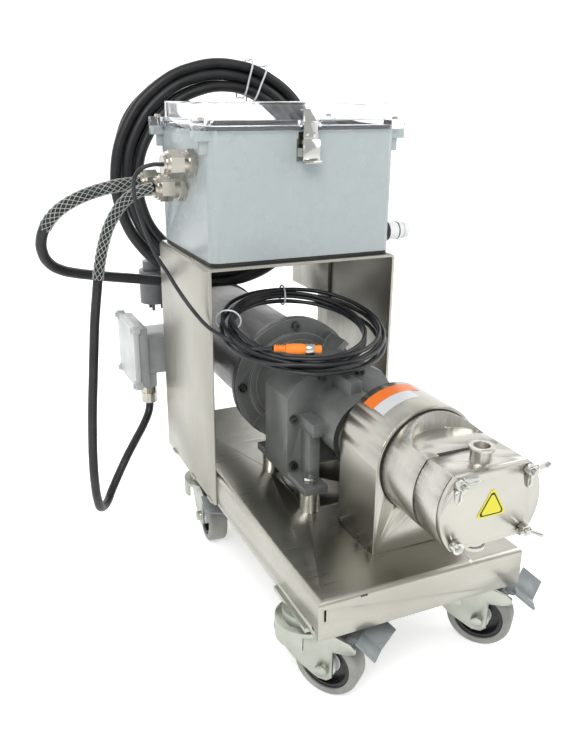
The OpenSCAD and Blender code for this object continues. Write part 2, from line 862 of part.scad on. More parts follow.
module pump_cover() {
  color([0.8, 0.8, 0.76]) at_row() difference() {
    pump_block(-53, -47);
    for (sx = [-40, 40]) {
      for (sz = [-32, 32]) {
        cyy(pump_x + sx, pump_z + sz, 3.2, -54, -46);
      }
    }
  }
}

// wing nut on a housing stud; the wings stand at angle a
module wing_nut(sx, sz, a) {
  color([0.82, 0.82, 0.8]) at_row() translate([pump_x + sx, 0, pump_z + sz]) rotate([0, a, 0])
    difference() {
      union() {
        cyy(0, 0, 6, -61, -53.3);
        for (b = [0, 180]) {
          rotate([0, b, 0]) translate([0, 0, -1.3]) linear_extrude(2.6)
            polygon([[4, -53.6], [7, -53.6], [16, -64], [16, -69], [11, -69], [4, -61]]);
        }
      }
      cyy(0, 0, 3.05, -70, -50);
    }
}

// two-wing rotor with its shaft axis on the Y axis
module bi_wing() {
  translate([0, -14.5, 0]) rotate([90, 0, 0]) linear_extrude(32) {
    circle(r = 19.8);
    intersection() {
      circle(r = 29.9, $fn = 96);
      for (s = [-1, 1]) {
        polygon([[0, 0], [s * 46, 38.6], [s * 60, 0], [s * 46, -38.6]]);
      }
    }
  }
}

module drive_rotor() {
  color([0.75, 0.75, 0.73]) at_row() translate([drive_x, 0, pump_z]) {
    bi_wing();
    cyy(0, 0, 9, -46, 110);
    cyy(0, 0, 24.85, 10, 30);
  }
}

module idle_rotor() {
  color([0.75, 0.75, 0.73]) at_row() translate([idle_x, 0, pump_z]) {
    rotate([0, 90, 0]) bi_wing();
    cyy(0, 0, 9, -46, 55);
    cyy(0, 0, 24.85, 10, 30);
  }
}

// ---------------------------------------------------------------- cords
function unit(v) = v / norm(v);
function tangent(p, i) = unit(p[min(i + 1, len(p) - 1)] - p[max(i - 1, 0)]);
function ring(p, i, r, n, ref) =
  let (t = tangent(p, i), u = unit(cross(t, ref)), v = cross(t, u))
  [for (k = [0:n - 1]) p[i] + r * cos(360 * k / n) * u + r * sin(360 * k / n) * v];

// round tube along a route
module tube(p, r, n, ref) {
  m = len(p);
  polyhedron(
    points = [for (i = [0:m - 1]) each ring(p, i, r, n, ref)],
    faces = concat(
      [[for (k = [0:n - 1]) k]],
      [[for (k = [n - 1:-1:0]) (m - 1) * n + k]],
      [for (i = [0:m - 2]) for (k = [0:n - 1]) each [
        [i * n + k, (i + 1) * n + k, (i + 1) * n + (k + 1) % n],
        [i * n + k, (i + 1) * n + (k + 1) % n, i * n + (k + 1) % n]]]));
}

module mains_lead() {
  color([0.05, 0.05, 0.06]) at_row() {
    tube(mains_route, 7.5, 10, [0, 0.35, 1]);
    tube(mains_tail, 7.5, 10, [1, 0, 0.2]);
  }
}

// wound and tied lead, hung behind the enclosure
module mains_coil() {
  color([0.06, 0.06, 0.07]) at_row() translate([coil_x, coil_y, coil_z]) rotate([90, 0, 0])
    rotate_extrude($fn = 72) {
      translate([coil_r - 8, 0]) circle(r = 17, $fn = 24);
      translate([coil_r + 8, 0]) circle(r = 17, $fn = 24);
      translate([coil_r - 8, -17]) square([16, 34]);
    }
}

// moulded mains plug hanging under the coil
module mains_plug() {
  color([0.3, 0.31, 0.33]) at_row() {
    cyz(plug_x, plug_y, 23, 300, 352);
    cyz(plug_x, plug_y, 17, 351.9, 366);
    for (a = [0:120:240]) {
      translate([plug_x, plug_y, 0]) rotate([0, 0, a]) cyz(11, 0, 2.4, 288, 301);
    }
  }
}

module motor_lead() {
  color([0.05, 0.05, 0.06]) at_row() tube(motor_route, 6.25, 10, [0, 1, 0.25]);
}

module sensor_lead() {
  color([0.05, 0.05, 0.05]) at_row() tube(sensor_route, 2.5, 8, [1, 0.2, 0.15]);
}

// slack of the sensor lead in a ring resting on the gear unit
module sensor_coil() {
  color([0.05, 0.05, 0.05]) at_row() translate(sensor_ring) rotate([sensor_tilt, 0, 0])
    rotate_extrude($fn = 64) translate([91, 0]) circle(r = 11, $fn = 20);
}

module sensor_connector() {
  color([0.85, 0.4, 0.12]) at_row() translate([-70, 203, 339])
    rotate([0, 92, -21]) {
      cylinder(r = 5.5, h = 30);
      translate([0, 0, 29.9]) cylinder(r = 7, h = 12);
      translate([0, 0, -14]) cylinder(r = 4, h = 14.1);
    }
}

tray();
portal();
pillars();
hex_bolts();
cap_screws();
caster_plates();
fork(FL);  // fork_fl
fork(FR);  // fork_fr
fork(RL);  // fork_rl
fork(RR);  // fork_rr
tyre(FL);  // tyre_fl
tyre(FR);  // tyre_fr
tyre(RL);  // tyre_rl
tyre(RR);  // tyre_rr
core(FL);  // core_fl
core(FR);  // core_fr
core(RL);  // core_rl
core(RR);  // core_rr
pedal(FL);  // pedal_fl
pedal(FR);  // pedal_fr
pedal(RL);  // pedal_rl
pedal(RR);  // pedal_rr
enclosure();
seals();
lid();
enclosure_hardware();
latch_strap();
backplate();
drive_unit();
terminals();
operator();
knob();
glands();
gland_nuts();
motor();
motor_rotor();
fan_cowl();
tbox();
tbox_lid();
adapter();
gear_case();
lay_shaft();
output_shaft();
guard();
pump_gearcase();
drive_rotor();
idle_rotor();
rotor_housing();
pump_cover();
wing_nut(-40, 32, -42);  // wing_tl
wing_nut(40, 32, -38);  // wing_tr
wing_nut(-40, -32, 48);  // wing_bl
wing_nut(40, -32, 17);  // wing_br
mains_lead();
mains_coil();
mains_plug();
motor_lead();
sensor_lead();
sensor_coil();
sensor_connector();
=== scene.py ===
"""Mobile sanitary transfer pump: camera, leads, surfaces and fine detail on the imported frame.

Lengths are in millimetres in the design frame of the cart (y = 0 at the tray's front edge,
floor at z = 0) and at() turns them into metres in the row frame.
"""
import json
import math
import bpy
import bmesh
from mathutils import Matrix, Vector

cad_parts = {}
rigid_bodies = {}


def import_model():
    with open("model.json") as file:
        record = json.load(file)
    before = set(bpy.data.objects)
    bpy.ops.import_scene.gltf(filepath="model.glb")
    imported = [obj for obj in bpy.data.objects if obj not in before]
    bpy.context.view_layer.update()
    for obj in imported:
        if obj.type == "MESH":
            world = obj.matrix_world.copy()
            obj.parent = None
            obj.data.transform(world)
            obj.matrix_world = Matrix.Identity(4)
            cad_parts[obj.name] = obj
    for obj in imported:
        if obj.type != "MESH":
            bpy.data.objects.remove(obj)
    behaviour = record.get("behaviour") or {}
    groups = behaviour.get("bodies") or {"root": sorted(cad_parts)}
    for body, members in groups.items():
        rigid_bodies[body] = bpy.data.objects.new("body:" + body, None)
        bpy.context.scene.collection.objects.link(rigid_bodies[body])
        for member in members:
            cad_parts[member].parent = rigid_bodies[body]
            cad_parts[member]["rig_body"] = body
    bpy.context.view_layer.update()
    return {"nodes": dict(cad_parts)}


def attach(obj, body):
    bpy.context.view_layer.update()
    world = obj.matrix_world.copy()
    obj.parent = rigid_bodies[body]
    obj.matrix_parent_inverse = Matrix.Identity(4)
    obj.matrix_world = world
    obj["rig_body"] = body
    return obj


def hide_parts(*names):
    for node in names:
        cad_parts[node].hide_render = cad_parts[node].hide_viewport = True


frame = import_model()
NODES = frame["nodes"]
MM = 0.001
OFFSET = Vector((-4.43, -315.5, 0.0))


def at(x, y, z):
    """A design point in millimetres as a row point in metres."""
    return (Vector((x, y, z)) + OFFSET) * MM


# ------------------------------------------------------------------ camera
CAMERA_AT = (-416, -558, 610)
YAW, PITCH, ROLL = (math.radians(a) for a in (24.1, 19.93, 0.35))


def make_camera():
    data = bpy.data.cameras.new("camera")
    cam = bpy.data.objects.new("camera", data)
    bpy.context.scene.collection.objects.link(cam)
    ahead = Vector((math.sin(YAW) * math.cos(PITCH), math.cos(YAW) * math.cos(PITCH), -math.sin(PITCH)))
    right = Vector((math.cos(YAW), -math.sin(YAW), 0))
    up = right.cross(ahead)
    side = math.cos(ROLL) * right + math.sin(ROLL) * up
    top = math.cos(ROLL) * up - math.sin(ROLL) * right
    turn = Matrix((side, top, -ahead)).transposed()
    cam.matrix_world = Matrix.Translation(at(*CAMERA_AT)) @ turn.to_4x4()
    data.sensor_fit = "VERTICAL"
    data.sensor_height = 36
    data.lens = 36.96
    data.clip_start = 0.02
    bpy.context.scene.camera = cam


# ------------------------------------------------------------------ node helpers
class Surface:
    """Builds one procedural material: tone, gloss and relief from noise in object space."""

    def __init__(self, name, metal=0.0, ior=1.45):
        self.mat = bpy.data.materials.new(name)
        self.mat.use_nodes = True
        self.tree = self.mat.node_tree
        self.bsdf = self.tree.nodes["Principled BSDF"]
        self.bsdf.inputs["Metallic"].default_value = metal
        self.bsdf.inputs["IOR"].default_value = ior
        self.coord = self.tree.nodes.new("ShaderNodeTexCoord")
        self.normal = None

    def link(self, a, b):
        self.tree.links.new(a, b)

    def noise(self, scale, stretch=(1, 1, 1), detail=4.0, rough=0.55):
        place = self.tree.nodes.new("ShaderNodeMapping")
        place.inputs["Scale"].default_value = stretch
        noise = self.tree.nodes.new("ShaderNodeTexNoise")
        noise.inputs["Scale"].default_value = scale
        noise.inputs["Detail"].default_value = detail
        noise.inputs["Roughness"].default_value = rough
        self.link(self.coord.outputs["Object"], place.inputs["Vector"])
        self.link(place.outputs["Vector"], noise.inputs["Vector"])
        return noise.outputs["Fac"]

    def tone(self, source, dark, light, low=0.35, high=0.65):
        ramp = self.tree.nodes.new("ShaderNodeValToRGB")
        ramp.color_ramp.elements[0].position = low
        ramp.color_ramp.elements[1].position = high
        ramp.color_ramp.elements[0].color = (*dark, 1)
        ramp.color_ramp.elements[1].color = (*light, 1)
        self.link(source, ramp.inputs["Fac"])
        self.link(ramp.outputs["Color"], self.bsdf.inputs["Base Color"])
        return self

    def gloss(self, source, smooth, rough):
        span = self.tree.nodes.new("ShaderNodeMapRange")
        span.inputs["From Min"].default_value = 0.3
        span.inputs["From Max"].default_value = 0.7
        span.inputs["To Min"].default_value = smooth
        span.inputs["To Max"].default_value = rough
        self.link(source, span.inputs["Value"])
        self.link(span.outputs["Result"], self.bsdf.inputs["Roughness"])
        return self

    def relief(self, source, strength, depth):
        bump = self.tree.nodes.new("ShaderNodeBump")
        bump.inputs["Strength"].default_value = strength
        bump.inputs["Distance"].default_value = depth
        self.link(source, bump.inputs["Height"])
        if self.normal is not None:
            self.link(self.normal, bump.inputs["Normal"])
        self.normal = bump.outputs["Normal"]
        self.link(self.normal, self.bsdf.inputs["Normal"])
        return self

    def set(self, **values):
        for name, value in values.items():
            self.bsdf.inputs[name.replace("_", " ")].default_value = value
        return self


def brushed(name, dark, light, stretch, smooth=0.22, rough=0.36, grain=0.25):
    """Stainless steel with its grain along the axis that stretch leaves short."""
    s = Surface(name, metal=1.0)
    s.tone(s.noise(9, detail=5), dark, light, 0.3, 0.7)
    s.gloss(s.noise(14, stretch, detail=6), smooth, rough)
    return s.relief(s.noise(40, stretch, detail=3), grain, 0.000012).mat


def painted(name, dark, light, smooth=0.32, rough=0.5, grain=900, depth=0.0001):
    """Satin paint with an orange-peel relief and dusty patches."""
    s = Surface(name)
    s.tone(s.noise(16, detail=6), dark, light, 0.3, 0.7)
    s.gloss(s.noise(22, detail=4), smooth, rough)
    return s.relief(s.noise(grain, detail=2), 0.25, depth).mat


def cast(name, dark, light, smooth=0.38, rough=0.55):
    """Painted casting: a coarse lumpy skin under a fine one."""
    s = Surface(name)
    s.tone(s.noise(20, detail=6), dark, light, 0.3, 0.7)
    s.gloss(s.noise(30, detail=4), smooth, rough)
    s.relief(s.noise(160, detail=4), 0.35, 0.0004)
    return s.relief(s.noise(1200, detail=2), 0.2, 0.00008).mat


def polished(name, dark, light, smooth=0.08, rough=0.2):
    s = Surface(name, metal=1.0)
    s.tone(s.noise(25, detail=4), dark, light)
    s.gloss(s.noise(40, detail=5), smooth, rough)
    return s.relief(s.noise(350, detail=2), 0.08, 0.00005).mat


def moulded(name, dark, light, smooth=0.35, rough=0.5, grain=1500, depth=0.00006):
    s = Surface(name)
    s.tone(s.noise(30, detail=4), dark, light)
    s.gloss(s.noise(45, detail=3), smooth, rough)
    return s.relief(s.noise(grain, detail=2), 0.25, depth).mat


def clear_plastic():
    s = Surface("clear_polycarbonate", ior=1.08)
    s.tone(s.noise(12), (0.93, 0.95, 0.98), (0.97, 0.98, 1.0))
    s.gloss(s.noise(35, detail=5), 0.02, 0.09)
    s.relief(s.noise(18, detail=2), 0.08, 0.0004)
    return s.set(Transmission_Weight=0.97, Coat_Weight=0.8, Coat_Roughness=0.04).mat


def speckled_grey():
    """Enclosure: moulded polyester with a few pale flecks and fine fibre marks."""
    s = Surface("fibreglass_grey")
    s.tone(s.noise(110, detail=3), (0.315, 0.355, 0.36), (0.335, 0.375, 0.38), 0.3, 0.75)
    s.gloss(s.noise(12, detail=5), 0.2, 0.34)
    s.relief(s.noise(700, detail=3), 0.15, 0.00006)
    return s.mat


STAINLESS_X = brushed("stainless_brushed_x", (0.37, 0.36, 0.315), (0.45, 0.44, 0.39), (1, 30, 30), 0.26, 0.4)
STAINLESS_Z = brushed("stainless_brushed_z", (0.36, 0.35, 0.305), (0.44, 0.43, 0.38), (30, 30, 1), 0.3, 0.44)
GUARD_STEEL = brushed("guard_steel", (0.42, 0.41, 0.365), (0.49, 0.48, 0.43), (12, 1, 12), 0.29, 0.35, 0.02)
PUMP_STEEL = brushed("pump_steel", (0.44, 0.43, 0.39), (0.52, 0.51, 0.465), (1, 60, 1), 0.26, 0.31, 0.02)
COVER_STEEL = brushed("cover_steel", (0.42, 0.41, 0.365), (0.49, 0.48, 0.43), (1, 12, 12), 0.29, 0.35, 0.03)
BRIGHT = polished("bright_stainless", (0.46, 0.46, 0.43), (0.58, 0.58, 0.55))
PILLAR = polished("turned_pillar", (0.52, 0.52, 0.48), (0.64, 0.64, 0.6), 0.14, 0.26)
NICKEL = polished("nickel", (0.42, 0.40, 0.35), (0.56, 0.53, 0.47), 0.14, 0.28)
SHAFT = polished("ground_shaft", (0.4, 0.4, 0.39), (0.52, 0.52, 0.5), 0.2, 0.32)
ZINC = brushed("zinc_plate", (0.36, 0.38, 0.33), (0.48, 0.50, 0.445), (6, 6, 6), 0.3, 0.48, 0.2)
PEDAL = painted("pedal_paint", (0.16, 0.18, 0.185), (0.225, 0.245, 0.25), 0.26, 0.42)
GEAR_PAINT = cast("gear_paint", (0.085, 0.09, 0.087), (0.12, 0.125, 0.12), 0.28, 0.42)
# motor and fan cowl: dark paint, set darker than the gear paint to paint the shade behind the adapter flange
# as well
MOTOR_PAINT_AND_SHADE = cast("motor_paint", (0.05, 0.053, 0.051), (0.08, 0.083, 0.08), 0.3, 0.45)
CAST_BOX = cast("cast_box", (0.235, 0.25, 0.25), (0.32, 0.335, 0.335), 0.3, 0.45)
CAST_LID = cast("cast_box_lid", (0.40, 0.41, 0.41), (0.52, 0.53, 0.53), 0.28, 0.42)
BLACK_STEEL = polished("black_screw", (0.09, 0.095, 0.095), (0.17, 0.17, 0.17), 0.25, 0.4)
TREAD = moulded("grey_tread", (0.20, 0.20, 0.185), (0.28, 0.28, 0.26), 0.55, 0.75, 500, 0.0002)
CORE = moulded("black_core", (0.008, 0.008, 0.009), (0.016, 0.016, 0.018), 0.22, 0.36)
HUB = moulded("white_hub", (0.55, 0.56, 0.54), (0.68, 0.69, 0.67), 0.35, 0.5)
ENCLOSURE = speckled_grey()
SEAL = moulded("black_seal", (0.006, 0.006, 0.006), (0.014, 0.014, 0.013), 0.45, 0.6)
CLEAR = clear_plastic()
PLATE = brushed("galvanised_plate", (0.5, 0.51, 0.52), (0.64, 0.65, 0.66), (5, 5, 5), 0.3, 0.5)
DRIVE = moulded("drive_black", (0.012, 0.013, 0.014), (0.022, 0.023, 0.025), 0.3, 0.45)
TERMINAL = moulded("terminal_grey", (0.26, 0.29, 0.29), (0.33, 0.36, 0.36))
KNOB = moulded("knob_pale", (0.58, 0.59, 0.59), (0.66, 0.67, 0.67), 0.3, 0.42)
# lighter grey on the bevel faces of the gear case and adapter: edge wear and a painted highlight along the
# edges
EDGE_WEAR_AND_HIGHLIGHT = cast("gear_edge_wear_and_painted_highlight", (0.24, 0.25, 0.245), (0.36, 0.37, 0.36), 0.3, 0.42)
CABLE = moulded("cable_jacket", (0.006, 0.0062, 0.007), (0.016, 0.0165, 0.018), 0.34, 0.52, 320, 0.0001)
THIN_CABLE = moulded("thin_cable_jacket", (0.009, 0.0095, 0.011), (0.022, 0.023, 0.026), 0.3, 0.42)
PLUG = moulded("plug_grey", (0.12, 0.125, 0.13), (0.17, 0.175, 0.18))
ORANGE = moulded("connector_orange", (0.78, 0.19, 0.012), (0.88, 0.24, 0.02), 0.32, 0.45)
WIRE = moulded("steel_wire", (0.30, 0.33, 0.31), (0.46, 0.49, 0.46), 0.3, 0.42)
TIE = moulded("cable_tie", (0.52, 0.54, 0.56), (0.68, 0.7, 0.72))
LABEL_ORANGE = painted("label_orange", (0.66, 0.135, 0.012), (0.72, 0.165, 0.018), 0.3, 0.4)
LABEL_WHITE = painted("label_white", (0.5, 0.51, 0.52), (0.56, 0.57, 0.58), 0.3, 0.4)
LABEL_YELLOW = painted("label_yellow", (0.58, 0.53, 0.02), (0.64, 0.59, 0.03), 0.3, 0.4)
# near-black used as painted shade in seams, grooves and the latch slot, and as the dark print line of the
# warning sign
PRINT_AND_PAINTED_SHADE = moulded("dark_print_and_painted_shade", (0.01, 0.01, 0.01), (0.018, 0.018, 0.017), 0.5, 0.7)
# mid-grey painted shade for a groove of the selector
SELECTOR_GROOVE_SHADE = moulded("selector_groove_grey_shade", (0.3, 0.31, 0.31), (0.4, 0.41, 0.41))
WELD = brushed("weld_bead", (0.36, 0.35, 0.32), (0.5, 0.49, 0.46), (5, 5, 5), 0.3, 0.45)


# ------------------------------------------------------------------ mesh helpers
def dress(obj, mat):
    obj.data.materials.clear()
    obj.data.materials.append(mat)


def smooth(obj, angle=35):
    obj.data.shade_smooth()
    obj.data.set_sharp_from_angle(angle=math.radians(angle))


def new_piece(name, bm, mat, body="base"):
    """A mesh piece from a bmesh in design millimetres."""
    bmesh.ops.recalc_face_normals(bm, faces=bm.faces)
    for v in bm.verts:
        v.co = (v.co + OFFSET) * MM
    mesh = bpy.data.meshes.new(name)
    bm.to_mesh(mesh)
    bm.free()
    obj = bpy.data.objects.new(name, mesh)
    bpy.context.scene.collection.objects.link(obj)
    dress(obj, mat)
    smooth(obj)
    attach(obj, body)
    return obj


def apply_modifiers(obj):
    graph = bpy.context.evaluated_depsgraph_get()
    done = bpy.data.meshes.new_from_object(obj.evaluated_get(graph))
    obj.modifiers.clear()
    obj.data = done


def rounded(node, width, mat, segments=3, angle=32, edge=None):
    """A copy of a CAD node with its hard edges broken, which stands for the node."""
    source = NODES[node]
    mesh = source.data.copy()
    bm = bmesh.new()
    bm.from_mesh(mesh)
    bmesh.ops.remove_doubles(bm, verts=bm.verts, dist=0.00002)
    bmesh.ops.dissolve_limit(bm, angle_limit=math.radians(0.6), verts=bm.verts, edges=bm.edges)
    bm.to_mesh(mesh)
    bm.free()
    obj = bpy.data.objects.new(node + "_finished", mesh)
    bpy.context.scene.collection.objects.link(obj)
    bevel = obj.modifiers.new("bevel", "BEVEL")
    bevel.width = width * MM
    bevel.segments = segments
    bevel.limit_method = "ANGLE"
    bevel.angle_limit = math.radians(angle)
    bevel.use_clamp_overlap = True
    bevel.harden_normals = True
    dress(obj, mat)
    # an optional second material goes on the bevel faces; for the gear case and adapter it paints edge wear
    # and a highlight
    if edge:
        obj.data.materials.append(edge)
        bevel.material = 1
    apply_modifiers(obj)
    smooth(obj, 40)
    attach(obj, source["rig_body"])
    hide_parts(node)
    return obj


def add_box(bm, low, high, bevel=0.0, segments=2):
    size = Vector(high) - Vector(low)
    centre = (Vector(high) + Vector(low)) / 2
    made = bmesh.ops.create_cube(bm, size=1, matrix=Matrix.Translation(centre) @ Matrix.Diagonal((*size, 1)))
    if bevel:
        edges = {e for v in made["verts"] for e in v.link_edges}
        bmesh.ops.bevel(bm, geom=list(edges), offset=bevel, segments=segments, affect="EDGES", profile=0.5)


def turned(bm, profile, centre, axis="Y", steps=48):
    """Lathe a profile of (radius, along) pairs about an axis through centre."""
    rings = []
    for r, along in profile:
        ring = []
        for k in range(steps):
            a = 2 * math.pi * k / steps
            c, s = r * math.cos(a), r * math.sin(a)
            p = {"X": (along, c, s), "Y": (c, along, s), "Z": (c, s, along)}[axis]
            ring.append(bm.verts.new(Vector(centre) + Vector(p)))
        rings.append(ring)
    for a, b in zip(rings, rings[1:]):
        for k in range(steps):
            n = (k + 1) % steps
            bm.faces.new((a[k], a[n], b[n], b[k]))
    return rings


def cap(bm, ring):
    bm.faces.new(ring)


def smooth_path(points, per=6):
    """Catmull-Rom points through the given ones."""
    pts = [Vector(p) for p in points]
    pts = [2 * pts[0] - pts[1]] + pts + [2 * pts[-1] - pts[-2]]
    out = []
    for i in range(1, len(pts) - 2):
        a, b, c, d = pts[i - 1:i + 3]
        for k in range(per):
            t = k / per
            out.append(0.5 * (2 * b + (c - a) * t + (2 * a - 5 * b + 4 * c - d) * t * t
                              + (3 * b - a - 3 * c + d) * t ** 3))
    out.append(pts[-2])
    return out


def curve_piece(name, points, radius, mat, body="base", bevel_steps=6, closed=False):
    """A round wire or cable through design points, as one smooth spline."""
    data = bpy.data.curves.new(name, "CURVE")
    data.dimensions = "3D"
    data.bevel_depth = radius * MM
    data.bevel_resolution = bevel_steps
    data.use_fill_caps = True
    spline = data.splines.new("BEZIER")
    spline.bezier_points.add(len(points) - 1)
    for bez, p in zip(spline.bezier_points, points):
        bez.co = at(*p)
        bez.handle_left_type = "AUTO"
        bez.handle_right_type = "AUTO"
    spline.use_cyclic_u = closed
    spline.resolution_u = 8
    data.materials.append(mat)
    obj = bpy.data.objects.new(name, data)
    bpy.context.scene.collection.objects.link(obj)
    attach(obj, body)
    return obj


def measured(obj):
    """Length in metres of a curve piece's spline, sampled on its evaluated line."""
    data = obj.data.copy()
    data.bevel_depth = 0
    probe = bpy.data.objects.new("probe", data)
    bpy.context.scene.collection.objects.link(probe)
    graph = bpy.context.evaluated_depsgraph_get()
    mesh = bpy.data.meshes.new_from_object(probe.evaluated_get(graph))
    ends = [[mesh.vertices[i].co for i in e.vertices] for e in mesh.edges]
    total = sum((a - b).length for a, b in ends)
    bpy.data.objects.remove(probe)
    return total


# ------------------------------------------------------------------ leads
MAINS_ROUTE = [(-163, 475, 500), (-179, 476, 499), (-200, 479, 496), (-225, 484, 489),
    (-248, 491, 479), (-268, 500, 465), (-282, 510, 447), (-289, 520, 427), (-288, 531, 407),
    (-279, 542, 389), (-262, 552, 376), (-240, 560, 368), (-215, 565, 362), (-190, 567, 357),
    (-165, 567, 353), (-140, 566, 349), (-116, 565, 345), (-90, 564, 340), (-62, 564, 336.5)]
MAINS_TAIL = [(-164, 588, 482), (-162, 594, 458), (-156, 600, 436), (-146, 606, 416),
    (-132, 611, 399), (-120, 615, 385), (-112, 618, 366)]
MOTOR_ROUTE = [(-163, 402, 501), (-178, 404, 498), (-193, 409, 490), (-206, 415, 475),
    (-218, 421, 453), (-226, 426, 428), (-233, 427, 398), (-238, 428, 366), (-243, 429, 330),
    (-247, 430, 290), (-251, 430, 250), (-255, 430, 210), (-258, 430, 170), (-260, 430, 132),
    (-260, 432, 98), (-257, 440, 66), (-250, 456, 42), (-238, 475, 38), (-226, 492, 48),
    (-210, 508, 66), (-194, 522, 84), (-174, 541, 102), (-155, 558, 120), (-143, 571, 136),
    (-140, 575, 150)]
SENSOR_ROUTE = [(-163, 358, 533), (-174, 359, 533), (-186, 361, 529), (-194, 364, 520),
    (-196, 367, 506), (-194, 368, 488), (-189, 366, 468), (-183, 362, 447), (-175, 356, 425),
    (-165, 349, 406), (-155, 341, 386), (-146, 330, 369), (-138.5, 315, 356), (-135, 300, 350),
    (-130, 284, 345), (-121, 268, 340), (-106, 252, 335)]
COIL_CENTRE = (-13, 572, 494)
COIL_RADIUS = 144
RING_CENTRE = (-16, 275, 338)
RING_RADIUS = 92
RING_TILT = math.radians(13)
# king pin x, y and the turn of each fork in degrees
CASTERS = {"fl": (-107, 64, 37), "fr": (92, 64, 41), "rl": (-100, 412, -6), "rr": (100, 412, 24)}
TRAIL = 30
WHEEL_RADIUS = 37.5
# the pump's own axis in x, z and the middle of its cover
PUMP_AXIS = (28, 246)
COVER_MIDDLE = (28.2, 246.2)


def wound(turn_places, start, stop, per_turn, place):
    """Points of a winding: turn k lies at turn_places[k], moving over in its first sixth."""
    points = []
    steps = round((stop - start) / 360 * per_turn)
    for i in range(steps + 1):
        turned_by = (stop - start) / steps * i
        k = min(int(turned_by // 360), len(turn_places) - 1)
        into = turned_by / 360 - k
        now = Vector(turn_places[k])
        if k > 0 and into < 1 / 6:
            before = Vector(turn_places[k - 1])
            ease = 0.5 - 0.5 * math.cos(math.pi * into * 6)
            now = before.lerp(now, ease)
        points.append(place(start + turned_by, now, i))
    return points


def mains_place(angle, offset, i):
    a = math.radians(angle)
    r = COIL_RADIUS + offset[0] + 1.4 * math.sin(0.7 * i) + 1.6 * math.sin(2 * a + offset[0])
    x, y, z = COIL_CENTRE
    return (x + r * math.sin(a), y + offset[1], z - r * math.cos(a))


def sensor_place(angle, offset, i):
    a = math.radians(angle)
    r = RING_RADIUS + offset[0] + 1.3 * math.sin(0.9 * i + offset[1]) + 4 * math.cos(a - 1.1 * offset[1])
    x, y, z = RING_CENTRE
    side, ahead = -r * math.cos(a), -r * math.sin(a)
    lift = offset[1] + 0.8 * math.sin(1.3 * i)
    return (x + side, y + ahead * math.cos(RING_TILT) - lift * math.sin(RING_TILT),
            z + ahead * math.sin(RING_TILT) + lift * math.cos(RING_TILT))


def make_leads():
    turns = [(16, -8, 0), (0.5, -8.5, 0), (-15, -8, 0), (-15, 7.5, 0), (0.5, 8, 0), (12, 9, 0)]
    coil = wound(turns, -8, 2066, 16, mains_place)
    route = MAINS_ROUTE + coil[:-1] + MAINS_TAIL
    mains = curve_piece("mains_cord", route, 7.5, CABLE)
    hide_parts("mains_lead", "mains_coil")

    motor = curve_piece("motor_cord", MOTOR_ROUTE, 6.25, CABLE)
    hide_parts("motor_lead")

    strands = [(-7, -6, 0), (1, -9, 0), (9, -4, 0), (8, 3.5, 0), (0, 2, 0), (-1, 8.5, 0),
               (-9, 5, 0), (-8, -0.5, 0)]
    ring = wound(strands, 14, 14 + 360 * 8 - 24, 14, sensor_place)
    lead_out = [(-99, 238, 333), (-93, 219, 337), (-84, 208.5, 339.5)]
    sensor = curve_piece("sensor_cord", SENSOR_ROUTE[:-1] + ring + lead_out, 2.5, THIN_CABLE, bevel_steps=4)
    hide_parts("sensor_lead", "sensor_coil")
    return mains, motor, sensor


def along(points, per=8):
    """Smooth centreline with a frame that does not twist: (point, side, up)."""
    path = smooth_path(points, per)
    out = []
    side = None
    for i, p in enumerate(path):
        ahead = (path[min(i + 1, len(path) - 1)] - path[max(i - 1, 0)]).normalized()
        side = ahead.orthogonal() if side is None else side - side.dot(ahead) * ahead
        side = side.normalized()
        out.append((p, side, ahead.cross(side)))
    return out


def mesh_grip(name, points, radius, stop, wires=7, pitch=34.0):
    """Woven wire strain relief over the first stretch of a lead."""
    line = along(points)
    far = [0.0]
    for a, b in zip(line, line[1:]):
        far.append(far[-1] + (b[0] - a[0]).length)
    data = bpy.data.curves.new(name, "CURVE")
    data.dimensions = "3D"
    data.bevel_depth = 0.42 * MM
    data.bevel_resolution = 1
    for hand in (1, -1):
        for w in range(wires):
            pts = []
            for (p, side, up), s in zip(line, far):
                if s > stop:
                    break
                a = 2 * math.pi * (w / wires + hand * s / pitch / 2)
                r = radius + 0.7 + 0.25 * hand
                pts.append(p + r * (math.cos(a) * side + math.sin(a) * up))
            spline = data.splines.new("POLY")
            spline.points.add(len(pts) - 1)
            for sp, p in zip(spline.points, pts):
                sp.co = (*at(*p), 1)
    data.materials.append(WIRE)
    obj = bpy.data.objects.new(name, data)
    bpy.context.scene.collection.objects.link(obj)
    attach(obj, "base")
    return obj


# ------------------------------------------------------------------ surfaces of the CAD nodes
def dress_nodes():
    finish = {
        "pillars": PILLAR, "hex_bolts": BRIGHT, "cap_screws": BLACK_STEEL,
        "seals": SEAL, "backplate": PLATE, "drive_unit": DRIVE, "terminals": TERMINAL,
        "operator": SEAL, "knob": KNOB, "glands": NICKEL, "gland_nuts": NICKEL,
        "motor_rotor": SHAFT, "lay_shaft": SHAFT, "output_shaft": SHAFT,
        "drive_rotor": BRIGHT, "idle_rotor": BRIGHT, "mains_plug": PLUG,
        "enclosure_hardware": BRIGHT, "caster_plates": ZINC,
    }
    for corner in ("fl", "fr", "rl", "rr"):
        finish["tyre_" + corner] = TREAD
        finish["core_" + corner] = CORE
    for node, mat in finish.items():
        dress(NODES[node], mat)
        smooth(NODES[node])


